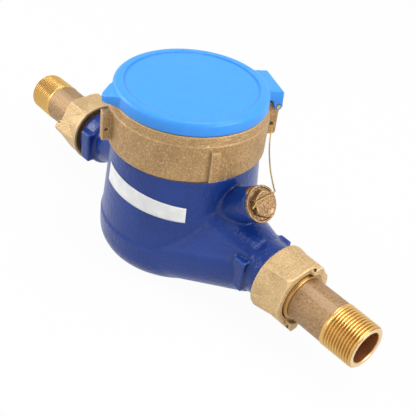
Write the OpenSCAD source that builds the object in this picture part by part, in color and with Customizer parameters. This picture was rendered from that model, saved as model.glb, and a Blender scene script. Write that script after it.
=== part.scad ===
// Dry-dial multi-jet water meter with union tailpieces.
// Millimetres. The origin is the centre of the flat base, X runs along the pipe from outlet to inlet, Z is up.

/* [Pipe run] */
// Length of the cast body between the faces of its threaded ends
body_length = 190; // [182:1:204]
// Height of the pipe axis above the base
axis_height = 32; // [30:0.5:34]
// Bore of the waterway through the body ends and the tailpieces
port_bore_d = 19; // [15:0.5:20]
// Major diameter of the straight union thread on the body ends
stub_d = 33.2; // [32:0.1:34.5]
// Length of the union thread on each body end
stub_length = 8.5; // [7:0.5:11]
// Diameter of the round collars behind the union nuts
collar_d = 34; // [33.6:0.2:35.6]
// Length of each collar along the pipe
collar_length = 12; // [9:0.5:13]
// Width across the wrench lugs on the collars
wrench_flats = 37.4; // [36.4:0.2:39]

/* [Unions] */
// Width across flats of the union nuts
nut_af = 37.5; // [36.5:0.5:41]
// Gap between a collar and its union nut
nut_gap = 1.2; // [0.5:0.1:2]
// Thickness of the lip that pulls the tailpiece in
nut_lip = 6.5; // [5:0.5:8]
// How far the wire ears stand out from the nut's face
ear_length = 3.5; // [3:0.5:5]
// Thickness of the union washers
union_washer_t = 2; // [1:0.5:3]
// Length of a tailpiece from its flange to its thread end
tail_length = 57.25; // [50:0.25:65]
// Outer diameter of the tailpiece tube
tail_d = 25.9; // [25:0.1:26.1]
// Thickness of the tailpiece flange
tail_flange_t = 4; // [3:0.5:5]
// Outer diameter of the tailpiece pipe thread
pipe_thread_d = 26.7; // [25.8:0.1:27.5]
// Length of the tailpiece pipe thread
pipe_thread_length = 20.9; // [16:0.1:24]

/* [Drum] */
// Diameter of the belly at the bottom of the drum
belly_d = 97.6; // [95:0.2:102]
// Radius of the rounded lower edge of the drum
base_fillet = 15; // [10:0.5:18]
// Height of the top of the belly, where the ledge runs
belly_top = 25; // [22:0.5:28]
// Diameter of the drum at its shoulder
shoulder_d = 88.4; // [87:0.2:90]
// Height of the shoulder under the head ring
shoulder_z = 74.6; // [73:0.1:76]
// Major diameter of the neck thread
neck_d = 84.4; // [83:0.2:85.4]
// Height of the top of the neck
neck_top = 88; // [86:0.2:89]
// Diameter of the cavity inside the drum
cavity_d = 76; // [75:0.2:77]
// Thickness of the drum's floor
floor_t = 6; // [4:0.5:8]

/* [Regulator] */
// Tilt of the regulator axis above the pipe axis
regulator_tilt = 34; // [30:1:38]
// Distance of the regulator seat from the drum axis
regulator_reach = 64.5; // [62:0.5:67]
// Height of the regulator seat above the base
regulator_height = 68; // [66:0.1:70]
// Diameter of the regulator boss
boss_d = 20.4; // [19:0.2:22]
// Diameter of the regulator plug's flange
plug_flange_d = 21; // [20:0.2:23]
// Width across flats of the regulator plug
plug_af = 14; // [13:0.5:16]
// Diameter of the regulator thread
regulator_d = 10.4; // [9:0.2:11]

/* [Head ring] */
// Outer diameter of the head ring
ring_d = 92.8; // [91.6:0.2:95]
// Gap between the shoulder and the head ring
ring_gap = 1; // [0.5:0.1:1.6]
// Height of the top of the head ring
ring_top = 104.3; // [103.8:0.1:106]
// Thickness of the lip that holds the register down
ring_lip_t = 3.5; // [2.5:0.1:4]
// Inner diameter of the lip
ring_lip_d = 74; // [70:0.5:76]
// Direction of the hinge, seen from above, from the pipe axis
hinge_az = 68; // [64:1:72]

/* [Lid] */
// Outer diameter of the lid at its lower rim
lid_d = 90.4; // [89.6:0.2:92]
// Height of the lid from rim to top
lid_height = 7.9; // [7:0.1:9]
// Wall of the lid
lid_wall = 2.2; // [1.6:0.1:2.6]
// Radius of the lid's rounded top edge
lid_round = 2.8; // [2:0.1:3.2]
// Diameter of the shallow disc on the lid's top
lid_disc_d = 77; // [70:0.5:79]
// Distance of the hinge pin from the drum axis
pin_reach = 49.7; // [49.2:0.1:50.6]
// Height of the hinge pin
pin_z = 100.6; // [100:0.1:101.2]
// Diameter of the hinge pin
pin_d = 2.5; // [2:0.1:3]
// Width of the lid's hinge block
hinge_width = 25.8; // [24:0.2:28]
// Width of the hinge lug on the head ring
lug_width = 19.4; // [17:0.2:20]

/* [Measuring chamber] */
// Outer diameter of the measuring chamber
chamber_d = 62.4; // [60:0.2:63]
// Wall of the measuring chamber
chamber_wall = 2.7; // [2:0.1:3]
// Height of the top of the partition that carries the chamber
partition_z = 36.5; // [35.5:0.5:38]
// Height of the top of the chamber cup
chamber_top = 55; // [53:0.5:56]
// Tangential jets in each row of the chamber
jet_count = 10; // [8:1:12]
// Vanes of the impeller
vane_count = 9; // [7:1:11]
// Diameter over the impeller's vanes
impeller_d = 52; // [46:0.5:53]

/* [Register] */
// Module of the register's gears
gear_module = 0.5; // [0.46:0.01:0.52]
// Diameter of the number wheels
number_wheel_d = 12.4; // [11:0.1:12.6]
// Pitch of the number wheels along their axle
number_wheel_pitch = 4.4; // [4:0.1:4.6]
// Thickness of the glass
glass_t = 3; // [2:0.1:3.5]
// Diameter of the follower magnet
magnet_d = 16; // [12:0.5:18]

/* [Hidden] */
$fn = 96;

// Clearances
thread_clear = 0.1;
running_clear = 0.06;
slip_clear = 0.3;
seat_clear = 0.2;
eps = 0.01;

// Colours
navy = [0.16, 0.23, 0.52];
cast_brass = [0.76, 0.62, 0.42];
turned_brass = [0.86, 0.66, 0.30];
sky_blue = [0.33, 0.68, 0.98];
black_rubber = [0.10, 0.10, 0.11];
white_plastic = [0.90, 0.90, 0.88];
steel = [0.70, 0.71, 0.73];

// Pipe run
body_end = body_length / 2;
collar_end = body_end - stub_length;
collar_start = collar_end - collar_length;
hex_corner = 1 / cos(30);
collar_r = collar_d / 2;
collar_back = 5;
wrench_height = 20.4;
wrench_length = 8.4;
inlet_wrench_x = collar_start - 4.7;
outlet_wrench_x = collar_start - 0.2;
horn_end_r = collar_r + 0.5;
horn_end_x = collar_start;
horn_drop = 2.4;
horn_root_x = 40;
horn_root_r = 25;
horn_inset = 0.8;
horn_tip_t = 1.6;
neck_pipe_r = 14;
neck_cone_r = 11;
neck_full_x = collar_start + 1;
outlet_rise = 16;
inlet_drop = 10;
port_bend_x = collar_start - 10;
bend_swell = 0.6;
cavity_r = cavity_d / 2;

// Drum
belly_r = belly_d / 2;
ledge_rise = 1.4;
ledge_in = 0.9;
shoulder_r = shoulder_d / 2;
neck_r = neck_d / 2;
partition_t = 3.5;
partition_gap = 0.3;

// Unions
nut_start = collar_end + nut_gap;
tail_start = body_end + union_washer_t;
nut_shoulder = tail_start + tail_flange_t;
nut_end = nut_shoulder + nut_lip;
nut_bore_r = stub_d / 2 + thread_clear;
tail_flange_r = stub_d / 2 - 1;
bead_r = pipe_thread_d / 2 + 1.35;
bead_overhang = 2;
bead_round = 1.1;
nut_hole_r = bead_r + slip_clear;
tail_end = tail_start + tail_length;
tail_bore_r = port_bore_d / 2;
union_washer_clear = 0.5;
thread_chamfer = 1.2;
nut_in_chamfer = 2.4;
nut_out_chamfer = 2;
ear_width = 8;
ear_hole_d = 2;
inlet_nut_turn = -20;
outlet_nut_turn = 92;

// Regulator, along its own axis with the seat at zero
plug_washer_t = 1;
plug_flange_t = 2;
plug_hex_t = 3.4;
plug_groove = 0.8;
plug_stem = 5;
plug_hex_z = plug_washer_t + plug_flange_t;
plug_hole_z = plug_hex_z + plug_hex_t / 2;
plug_corner = plug_af / 2 * hex_corner;
plug_wire_hole_d = 1.8;
regulator_depth = 23;
regulator_screw_l = 14;
bypass_d = 5;
bypass_x = 49;

// Head ring
ring_r = ring_d / 2;
ring_bottom = shoulder_z + ring_gap;
ring_bottom_round = 1.6;
ring_seam_z = ring_top - 5.5;
ring_seam_step = 0.5;
ring_top_r = lid_d / 2 - 0.1;
ring_bore_r = neck_r + thread_clear;
rib_width = 5;
rib_out = 2.4;
rib_top = ring_top - 8;
tab_lug_width = 5;
tab_lug_out = 5.4;
lug_out = pin_reach + 2.4;
lug_bottom = ring_bottom + 4.6;
lug_barrel_r = 2.6;
lug_root = ring_bore_r + 1;
lug_hole_z = lug_bottom + 7;
lug_hole_reach = 48.7;
wire_hole_d = 2.2;

// Lid
lid_rim_z = ring_top + slip_clear;
lid_top = lid_rim_z + lid_height;
lid_r = lid_d / 2;
lid_draft = 0.35;
lid_disc_depth = 0.35;
tab_reach = 52;
tab_root_half = 12;
tab_tip_r = 2.6;
tab_slope = 25;
block_out = pin_reach + 2.4;
block_top = lid_top - 0.9;
block_fall = 0.8;
block_round = 1.2;
block_in = lid_r - 4.2;
knuckle_r = 2.6;
knuckle_gap = slip_clear;
pin_overhang = 0.3;

// Measuring chamber
chamber_r = chamber_d / 2;
chamber_in_r = chamber_r - chamber_wall;
chamber_bottom = floor_t + 3;
chamber_floor_t = 2.5;
chamber_flange_r = cavity_r - 2.5;
chamber_flange_t = 3;
jet_w = 4;
jet_h = 8;
jet_turn = 50;
lower_jet_z = chamber_bottom + chamber_floor_t + 3;
upper_jet_z = partition_z + chamber_flange_t + 4;
cover_t = 3;
cover_rim_t = 2.2;
pivot_d = 1.8;
pivot_h = 9;
hub_r = 4;
vane_t = 1.4;
vane_root_r = hub_r - 1;
vane_step = 0.8;
impeller_bottom = chamber_bottom + chamber_floor_t + 1.5;
impeller_top = chamber_top - 2.5;
spindle_r = 2.4;
impeller_magnet_t = 3;
impeller_magnet_z = chamber_top + cover_t + 1;
strainer_r = cavity_r - 1;
strainer_t = 1.2;
strainer_slots = 24;
strainer_slot_w = 3.2;
strainer_rows = 2;

// Separating plate and register can
plate_gasket_t = 1;
plate_flange_t = 2.5;
plate_wall = 3;
plate_flange_r = neck_r - 0.8;
plate_dish_r = cavity_r - 0.6;
plate_bottom = impeller_magnet_z + impeller_magnet_t + 2;
plate_flange_z = neck_top + plate_gasket_t;
can_seat = plate_flange_z + plate_flange_t;
can_r = plate_dish_r - plate_wall - slip_clear;
can_wall = 1.5;
can_rim_r = ring_bore_r - 1;
can_bottom = plate_bottom + plate_wall + slip_clear;
can_floor = can_bottom + can_wall;
slip_washer_t = 0.8;
can_top = ring_top - ring_lip_t - slip_washer_t;
glass_r = can_rim_r - 1.7;
glass_z = can_top - glass_t;
dial_t = 1.2;
dial_z = can_seat + can_wall;
dial_r = glass_r - 1;
dial_window_w = 5.4;
dial_step = 0.2;

// Gear train, in a frame whose +Y is the hinge direction
pinion_n = 10;
wheel_n = 50;
sweep_pinion_n = 20;
sweep_wheel_n = 40;
worm_wheel_n = 20;
gear_centre = gear_module * (pinion_n + wheel_n) / 2;
second_at = [gear_centre * cos(-30), gear_centre * sin(-30)];
third_at = [gear_centre * cos(30), gear_centre * sin(30)];
arbor_r = 0.9;
pivot_depth = 0.8;
wheel_t = 1.4;
pinion_t = 2.2;
magnet_t = 3;
level_gap = 0.4;
magnet_z = can_floor + level_gap;
drive_pinion_z = magnet_z + magnet_t + level_gap;
second_wheel_z = drive_pinion_z + (pinion_t - wheel_t) / 2;
second_pinion_z = second_wheel_z + wheel_t + level_gap;
third_wheel_z = second_pinion_z + (pinion_t - wheel_t) / 2;
frame_z = second_pinion_z + pinion_t + level_gap;
frame_t = 1;
frame_r = can_r - can_wall - 0.8;
sweep_pinion_z = frame_z + frame_t + level_gap;
sweep_wheel_z = sweep_pinion_z + (pinion_t - wheel_t) / 2;
number_axle_z = dial_z - number_wheel_d / 2 - 0.5;
worm_pitch_r = 1.5;
worm_offset = 0.5;
worm_core_r = 1.35;
worm_turns = 3;
worm_steps = 12;
worm_sides = 12;
worm_pitch = PI * gear_module;
worm_wheel_r = gear_module * worm_wheel_n / 2;
number_axle_y = third_at[1] + worm_pitch_r + worm_wheel_r;
number_wheel_gap = 0.2;
number_count = 5;
worm_wheel_t = 1.6;
sweep_tip_r = gear_module * (sweep_pinion_n / 2 + 1);
units_right = third_at[0] - sweep_tip_r - level_gap;
number_axle_r = 1.2;
bracket_t = 1.2;
bracket_half = 3;
bracket_left = units_right - number_count * number_wheel_pitch - bracket_t - number_wheel_gap;
bracket_right = third_at[0] + sweep_tip_r + level_gap;
post_r = 2;
post_reach = frame_r - post_r - 1;
star_z = dial_z + dial_t + 0.4;
star_t = 0.6;
star_r = 4.2;
star_points = 6;
hand_z = star_z + star_t + level_gap;
hand_t = 0.6;
hand_length = 29;
hand_tail = 8;
hand_hub_r = 2.4;

// Seal wire, a twisted pair, as one tube from the lug's hole over the plug's end into the plug's hole
wire_r = 0.5;
wire_sides = 8;
wire_aside = [sin(regulator_tilt), 0, -cos(regulator_tilt)];
wire_route = [
    [21.7, 43.8, 87.2], [27.7, 41.3, 87.2], [29, 40.6, 86.9], [33, 36, 85.5], [37.1, 31.6, 84.1],
    [41.4, 27.4, 82.7], [45.9, 23.4, 81.3], [50.5, 19.6, 80], [55.3, 15.9, 78.7], [60.3, 12.5, 77.4],
    [65.4, 9.2, 76.1], [67.4, 8.2, 75.5], [68.2, 6.2, 75.6], [68.5, 4, 75.3], [68.6, -0.6, 75.2],
    [68.9, -6.6, 74.5], [69.2, -8, 73.5], [69.1, -8.9, 72.2], [68.7, -8.9, 71.1], [68.4, -8.1, 70.7],
    [68.4, -7.2, 70.6], [68.4, -3, 70.6]
];

// Helpers

module along_x(x, z = axis_height) {
    translate([x, 0, z]) rotate([0, 90, 0]) children();
}

module hinge_frame() {
    rotate([0, 0, hinge_az - 90]) children();
}

module regulator_frame() {
    translate([regulator_reach, 0, regulator_height]) rotate([0, 90 - regulator_tilt, 0]) children();
}

module ring_prism(outer_r, inner_r, height) {
    difference() {
        cylinder(r = outer_r, h = height);
        translate([0, 0, -eps]) cylinder(r = inner_r, h = height + 2 * eps);
    }
}

// Closed solid through a row of rings, each ring counter-clockwise about the direction of the row
module swept_rings(rings) {
    sides = len(rings[0]);
    last = len(rings) - 1;
    polyhedron(
        [for (ring = rings) each ring],
        concat(
            [[for (k = [0:sides - 1]) k]],
            [for (i = [0:last - 1], k = [0:sides - 1])
                let (a = i * sides + k, b = i * sides + (k + 1) % sides)
                    [a, a + sides, b + sides, b]],
            [[for (k = [sides - 1:-1:0]) last * sides + k]]
        )
    );
}

// Hexagonal prism with a corner pointing along local X, its ends chamfered to round
module hex_prism(af, height, chamfer_low, chamfer_high) {
    corner_r = af / 2 * hex_corner;
    flat_r = af / 2;
    intersection() {
        cylinder(r = corner_r, h = height, $fn = 6);
        rotate_extrude() polygon([
            [0, 0], [corner_r - chamfer_low, 0], [corner_r + chamfer_low * 0.4, chamfer_low * 1.2],
            [corner_r + chamfer_high * 0.4, height - chamfer_high * 1.2], [corner_r - chamfer_high, height],
            [0, height]
        ]);
    }
}

// Body casting

module drum_outline() {
    translate([0, base_fillet]) square([neck_r, neck_top - base_fillet]);
    square([belly_r - base_fillet, belly_top]);
    translate([0, base_fillet]) square([belly_r, belly_top - base_fillet]);
    translate([belly_r - base_fillet, base_fillet]) circle(base_fillet);
    polygon([
        [0, belly_top - eps], [belly_r, belly_top - eps], [belly_r, belly_top],
        [belly_r - ledge_in, belly_top + ledge_rise], [shoulder_r, shoulder_z], [0, shoulder_z]
    ]);
}

module inlet_horn() {
    hull() {
        rotate_extrude($fn = 48) {
            translate([0, horn_inset]) square([belly_r - base_fillet, belly_top - horn_inset]);
            translate([0, base_fillet]) square([belly_r - horn_inset, belly_top - base_fillet]);
            translate([belly_r - base_fillet, base_fillet]) circle(base_fillet - horn_inset, $fn = 32);
        }
        along_x(horn_root_x) cylinder(r = horn_root_r, h = 1, $fn = 32);
        for (drop = [0, horn_drop])
            along_x(horn_end_x - horn_tip_t, axis_height - drop)
                cylinder(r = horn_end_r, h = horn_tip_t, $fn = 32);
    }
}

module outlet_neck() {
    run = collar_start - cavity_r;
    length = sqrt(run * run + outlet_rise * outlet_rise);
    translate([-collar_start, 0, axis_height]) {
        rotate([0, atan2(run, outlet_rise), 0]) cylinder(r = neck_pipe_r, h = length);
        sphere(neck_pipe_r);
    }
}

// Round collar and the threaded stub beyond it, with a wrench lug on each side
module pipe_collar(from_x, full_x, wrench_x) {
    along_x(0) rotate_extrude() polygon([
        [0, from_x], [neck_cone_r, from_x], [collar_r, full_x], [collar_r, collar_end],
        [stub_d / 2, collar_end], [stub_d / 2, body_end], [0, body_end]
    ]);
    translate([wrench_x, -wrench_flats / 2, axis_height - wrench_height / 2])
        cube([wrench_length, wrench_flats, wrench_height]);
}

// Bore from one threaded end to the bend, and on at a slope into the cavity
module waterway(rise) {
    run = port_bend_x - cavity_r + 2;
    length = sqrt(run * run + rise * rise);
    along_x(port_bend_x) cylinder(d = port_bore_d, h = body_end - port_bend_x + 1);
    translate([port_bend_x, 0, axis_height]) {
        sphere(d = port_bore_d + bend_swell);
        rotate([0, -atan2(run, rise), 0]) cylinder(d = port_bore_d, h = length);
    }
}

module cavity_outline() {
    translate([0, floor_t]) square([cavity_r, partition_z - partition_t - floor_t]);
    translate([0, floor_t]) square([chamber_r + partition_gap, neck_top]);
    translate([0, partition_z]) square([cavity_r, neck_top]);
}

module regulator_bores() {
    regulator_frame() {
        translate([0, 0, -regulator_depth]) cylinder(d = regulator_d, h = regulator_depth + 1);
        translate([0, 0, -regulator_depth - 14]) cylinder(d = bypass_d, h = 15);
    }
    translate([bypass_x, 0, axis_height]) cylinder(d = bypass_d, h = 25);
}

module body_casting() {
    color(navy) difference() {
        union() {
            rotate_extrude() drum_outline();
            inlet_horn();
            outlet_neck();
            pipe_collar(horn_end_x - 4, horn_end_x - 2, inlet_wrench_x);
            mirror([1, 0, 0]) pipe_collar(neck_full_x - collar_back, neck_full_x, outlet_wrench_x);
            regulator_frame() translate([0, 0, -30]) cylinder(d = boss_d, h = 30);
        }
        rotate_extrude() cavity_outline();
        waterway(-inlet_drop);
        mirror([1, 0, 0]) waterway(outlet_rise);
        regulator_bores();
    }
}

// Unions

module tailpiece() {
    along_x(tail_start) rotate_extrude() difference() {
        union() {
            square([tail_flange_r, tail_flange_t]);
            square([tail_d / 2, tail_length - pipe_thread_length]);
            square([bead_r, tail_flange_t + nut_lip + bead_overhang - bead_round]);
            translate([bead_r - bead_round, tail_flange_t + nut_lip + bead_overhang - bead_round])
                circle(bead_round);
            square([bead_r - bead_round, tail_flange_t + nut_lip + bead_overhang]);
            translate([0, tail_length - pipe_thread_length])
                square([pipe_thread_d / 2, pipe_thread_length - thread_chamfer]);
            polygon([
                [0, tail_length - thread_chamfer - eps], [pipe_thread_d / 2, tail_length - thread_chamfer - eps],
                [pipe_thread_d / 2, tail_length - thread_chamfer],
                [pipe_thread_d / 2 - thread_chamfer, tail_length], [0, tail_length]
            ]);
        }
        translate([-1, -1]) square([tail_bore_r + 1, tail_length + 2]);
    }
}

module union_nut(turn) {
    length = nut_end - nut_start;
    corner_r = nut_af / 2 * hex_corner;
    along_x(nut_start) rotate([0, 0, turn]) difference() {
        union() {
            hex_prism(nut_af, length, nut_in_chamfer, nut_out_chamfer);
            intersection() {
                cylinder(r = corner_r, h = length + ear_length, $fn = 6);
                translate([-corner_r, -ear_width / 2, length / 2])
                    cube([2 * corner_r, ear_width, length / 2 + ear_length]);
            }
        }
        translate([0, 0, -1]) cylinder(r = nut_bore_r, h = nut_shoulder - nut_start + 1);
        translate([0, 0, -1]) cylinder(r = nut_hole_r, h = length + 2);
        translate([0, 0, length]) cylinder(r = nut_hole_r + 1, h = ear_length + 1);
        for (side = [-1, 1])
            translate([side * (corner_r - 3), 0, length + ear_length / 2])
                rotate([90, 0, 0]) cylinder(d = ear_hole_d, h = ear_width + 2, center = true);
    }
}

module union_washer() {
    along_x(body_end) ring_prism(tail_flange_r, tail_bore_r + union_washer_clear, union_washer_t);
}

module inlet_tailpiece() { color(turned_brass) tailpiece(); }
module outlet_tailpiece() { color(turned_brass) mirror([1, 0, 0]) tailpiece(); }
module inlet_union_nut() { color(cast_brass) union_nut(inlet_nut_turn); }
module outlet_union_nut() { color(cast_brass) mirror([1, 0, 0]) union_nut(outlet_nut_turn); }
module inlet_union_washer() { color(black_rubber) union_washer(); }
module outlet_union_washer() { color(black_rubber) mirror([1, 0, 0]) union_washer(); }

// Regulator

module regulator_plug() {
    color(turned_brass) regulator_frame() difference() {
        union() {
            translate([0, 0, -plug_stem]) cylinder(d = regulator_d - 2 * thread_clear, h = plug_stem + plug_washer_t);
            translate([0, 0, plug_washer_t]) cylinder(d = plug_flange_d, h = plug_flange_t);
            translate([0, 0, plug_hex_z - eps]) hex_prism(plug_af, plug_hex_t + eps, eps, 1);
        }
        translate([0, 0, plug_hex_z - plug_groove]) difference() {
            cylinder(r = plug_flange_d / 2 - 1.2, h = plug_groove + eps);
            translate([0, 0, -eps]) cylinder(r = plug_corner, h = plug_groove + 3 * eps, $fn = 6);
        }
        translate([0, 0, plug_hole_z]) rotate([90, 0, 0])
            cylinder(d = plug_wire_hole_d, h = plug_af * 2, center = true);
    }
}

module plug_washer() {
    color(black_rubber) regulator_frame()
        ring_prism(boss_d / 2 - 0.6, regulator_d / 2 + thread_clear, plug_washer_t);
}

module regulator_screw() {
    slot_w = 1.2;
    slot_depth = 2;
    color(turned_brass) regulator_frame() translate([0, 0, -regulator_depth]) difference() {
        cylinder(d = regulator_d - 2 * thread_clear, h = regulator_screw_l);
        translate([-regulator_d, -slot_w / 2, regulator_screw_l - slot_depth])
            cube([2 * regulator_d, slot_w, slot_depth + 1]);
    }
}

// Head ring

module ring_outline() {
    difference() {
        union() {
            translate([0, ring_bottom + ring_bottom_round])
                square([ring_r, ring_seam_z - ring_bottom - ring_bottom_round]);
            translate([0, ring_bottom]) square([ring_r - ring_bottom_round, ring_seam_z - ring_bottom]);
            translate([ring_r - ring_bottom_round, ring_bottom + ring_bottom_round]) circle(ring_bottom_round);
            polygon([
                [0, ring_seam_z - eps], [ring_r - ring_seam_step, ring_seam_z - eps],
                [ring_r - ring_seam_step, ring_seam_z], [ring_top_r, ring_top], [0, ring_top]
            ]);
        }
        translate([-1, ring_bottom - 1]) square([ring_bore_r + 1, ring_top - ring_lip_t - ring_bottom + 1]);
        translate([-1, ring_bottom]) square([ring_lip_d / 2 + 1, ring_top - ring_bottom + 1]);
    }
}

module ring_rib(turn) {
    rib_bottom = ring_bottom + ring_bottom_round;
    rotate([0, 0, turn]) translate([-rib_width / 2, lug_root, rib_bottom])
        cube([rib_width, ring_r + rib_out - lug_root, rib_top - rib_bottom]);
}

module tab_lug() {
    translate([-tab_lug_width / 2, -ring_r - tab_lug_out, lug_bottom])
        cube([tab_lug_width, ring_r + tab_lug_out - lug_root, rib_top - lug_bottom + 2]);
}

module hinge_lug() {
    translate([lug_width / 2, 0, 0]) rotate([90, 0, -90]) linear_extrude(lug_width) {
        polygon([
            [-lug_root, lug_bottom], [-lug_out + 0.8, lug_bottom], [-lug_out, lug_bottom + 1.2],
            [-pin_reach - lug_barrel_r, pin_z], [-pin_reach, pin_z + lug_barrel_r],
            [-lug_root, ring_top - ring_lip_t]
        ]);
        translate([-pin_reach, pin_z]) circle(lug_barrel_r);
    }
}

module head_ring() {
    color(cast_brass) hinge_frame() difference() {
        union() {
            rotate_extrude() ring_outline();
            ring_rib(-90);
            ring_rib(90);
            tab_lug();
            hinge_lug();
        }
        translate([0, pin_reach, pin_z]) rotate([0, 90, 0])
            cylinder(d = pin_d + 2 * thread_clear, h = 2 * lug_width, center = true);
        translate([0, lug_hole_reach, lug_hole_z]) rotate([0, 90, 0])
            cylinder(d = wire_hole_d, h = 2 * lug_width, center = true);
        translate([0, -ring_r - tab_lug_out / 2, lug_hole_z]) rotate([0, 90, 0])
            cylinder(d = wire_hole_d, h = 2 * tab_lug_width, center = true);
    }
}

module hinge_pin() {
    color(turned_brass) hinge_frame() translate([0, pin_reach, pin_z]) rotate([0, 90, 0])
        cylinder(d = pin_d, h = hinge_width + 2 * pin_overhang, center = true);
}

// Lid

module lid_outline() {
    top_r = lid_r - lid_draft;
    difference() {
        union() {
            polygon([
                [0, lid_rim_z], [lid_r, lid_rim_z], [top_r, lid_top - lid_round], [0, lid_top - lid_round]
            ]);
            translate([top_r - lid_round, lid_top - lid_round]) circle(lid_round);
            translate([0, lid_rim_z]) square([top_r - lid_round, lid_height]);
        }
        translate([-1, lid_rim_z - 1]) square([lid_r - lid_wall + 1, lid_height - lid_wall + 1]);
        translate([-1, lid_top - lid_disc_depth]) square([lid_disc_d / 2 + 1, 1]);
    }
}

module lid_tab() {
    difference() {
        translate([0, 0, lid_rim_z]) linear_extrude(lid_height - lid_round / 2) difference() {
            union() {
                polygon([
                    [-tab_root_half, -lid_r + 4], [-tab_tip_r, -tab_reach + tab_tip_r * 0.4],
                    [tab_tip_r, -tab_reach + tab_tip_r * 0.4], [tab_root_half, -lid_r + 4]
                ]);
                translate([0, -tab_reach + tab_tip_r]) circle(tab_tip_r);
            }
            circle(lid_r - lid_wall / 2);
        }
        translate([-tab_root_half, -lid_r + 1, lid_top - 0.6]) rotate([180 + tab_slope, 0, 0])
            translate([0, 0, -lid_height]) cube([2 * tab_root_half, lid_r, lid_height]);
    }
}

module knuckle_outline() {
    translate([-pin_reach, pin_z]) circle(knuckle_r);
    polygon([
        [-pin_reach + knuckle_r, pin_z], [-lid_r - 0.2, lid_rim_z + 0.1], [-block_in, lid_rim_z + 0.3],
        [-block_in, block_top], [-block_out + block_round, block_top - block_fall],
        [-block_out, block_top - block_fall - block_round],
        [-pin_reach - knuckle_r, pin_z]
    ]);
}

module hinge_block() {
    gap_half = lug_width / 2 + knuckle_gap;
    difference() {
        translate([hinge_width / 2, 0, 0]) rotate([90, 0, -90]) linear_extrude(hinge_width) knuckle_outline();
        translate([-gap_half, block_in - 1, pin_z - lug_barrel_r - 1])
            cube([2 * gap_half, block_out, lid_rim_z + 1 - pin_z + lug_barrel_r + 1]);
        cylinder(r = lid_r - lid_wall / 2, h = lid_top - lid_wall / 2);
        translate([0, pin_reach, pin_z]) rotate([0, 90, 0])
            cylinder(d = pin_d + 2 * running_clear, h = 2 * hinge_width, center = true);
    }
}

module lid() {
    color(sky_blue) hinge_frame() {
        rotate_extrude() lid_outline();
        lid_tab();
        hinge_block();
    }
}

// Measuring chamber

module jet_row(z, turn) {
    for (i = [0:jet_count - 1])
        rotate([0, 0, i * 360 / jet_count]) translate([chamber_r, 0, z]) rotate([0, 0, turn])
            translate([-2 * chamber_wall, -jet_w / 2, 0]) cube([4 * chamber_wall, jet_w, jet_h]);
}

module strainer() {
    bottom = floor_t;
    height = partition_z - partition_t - floor_t;
    slot_h = height / strainer_rows - 4;
    color(white_plastic) translate([0, 0, bottom]) difference() {
        ring_prism(strainer_r, strainer_r - strainer_t, height);
        for (row = [0:strainer_rows - 1], i = [0:strainer_slots - 1])
            rotate([0, 0, i * 360 / strainer_slots])
                translate([strainer_r - 2 * strainer_t, -strainer_slot_w / 2, 2 + row * height / strainer_rows])
                    cube([4 * strainer_t, strainer_slot_w, slot_h]);
    }
}

module chamber_cup() {
    color(white_plastic) difference() {
        union() {
            translate([0, 0, chamber_bottom]) cylinder(r = chamber_r, h = chamber_top - chamber_bottom);
            translate([0, 0, partition_z]) cylinder(r = chamber_flange_r, h = chamber_flange_t);
        }
        translate([0, 0, chamber_bottom + chamber_floor_t]) cylinder(r = chamber_in_r, h = chamber_top);
        translate([0, 0, chamber_bottom - 1]) cylinder(d = pivot_d, h = chamber_floor_t + 2);
        jet_row(lower_jet_z, jet_turn);
        jet_row(upper_jet_z, -jet_turn);
    }
}

module chamber_cover() {
    color(white_plastic) translate([0, 0, chamber_top]) difference() {
        union() {
            cylinder(r = chamber_r, h = cover_t);
            ring_prism(chamber_r, chamber_r - cover_rim_t, plate_bottom - chamber_top);
        }
        translate([0, 0, -1]) cylinder(r = spindle_r + running_clear, h = cover_t + 2);
    }
}

module impeller_pivot() {
    color(steel) translate([0, 0, chamber_bottom]) cylinder(d = pivot_d, h = chamber_floor_t + pivot_h);
}

module impeller() {
    height = impeller_top - impeller_bottom;
    color(white_plastic) difference() {
        union() {
            translate([0, 0, impeller_bottom]) cylinder(r = hub_r, h = height);
            translate([0, 0, impeller_bottom])
                cylinder(r = spindle_r, h = impeller_magnet_z + impeller_magnet_t - impeller_bottom);
            for (i = [0:vane_count - 1])
                rotate([0, 0, i * 360 / vane_count])
                    translate([vane_root_r, -vane_t / 2, impeller_bottom + vane_step])
                        cube([impeller_d / 2 - vane_root_r, vane_t, height - 2 * vane_step]);
        }
        translate([0, 0, impeller_bottom - 1]) cylinder(d = pivot_d + 2 * running_clear, h = pivot_h + 1);
    }
}

module impeller_magnet() {
    color(black_rubber) translate([0, 0, impeller_magnet_z])
        ring_prism(magnet_d / 2, spindle_r + thread_clear / 2, impeller_magnet_t);
}

// Separating plate and register case

module plate_gasket() {
    color(black_rubber) translate([0, 0, neck_top]) ring_prism(plate_flange_r, cavity_r, plate_gasket_t);
}

module separating_plate() {
    color(turned_brass) rotate_extrude() difference() {
        union() {
            translate([0, plate_bottom]) square([plate_dish_r, plate_flange_z + plate_flange_t - plate_bottom]);
            translate([0, plate_flange_z]) square([plate_flange_r, plate_flange_t]);
        }
        translate([-1, plate_bottom + plate_wall]) square([plate_dish_r - plate_wall + 1, neck_top]);
    }
}

module register_can() {
    color(white_plastic) difference() {
        rotate_extrude() difference() {
            union() {
                translate([0, can_bottom]) square([can_r, can_top - can_bottom]);
                translate([0, can_seat]) square([can_rim_r, can_top - can_seat]);
            }
            translate([-1, can_floor]) square([can_r - can_wall + 1, can_top]);
            translate([-1, dial_z]) square([dial_r + dial_step + 1, can_top]);
            translate([-1, glass_z]) square([glass_r + seat_clear + 1, can_top]);
        }
        hinge_frame() for (at = [[0, 0], second_at, third_at])
            translate([at[0], at[1], can_floor - pivot_depth])
                cylinder(r = arbor_r + running_clear, h = 2 * pivot_depth);
    }
}

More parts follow.
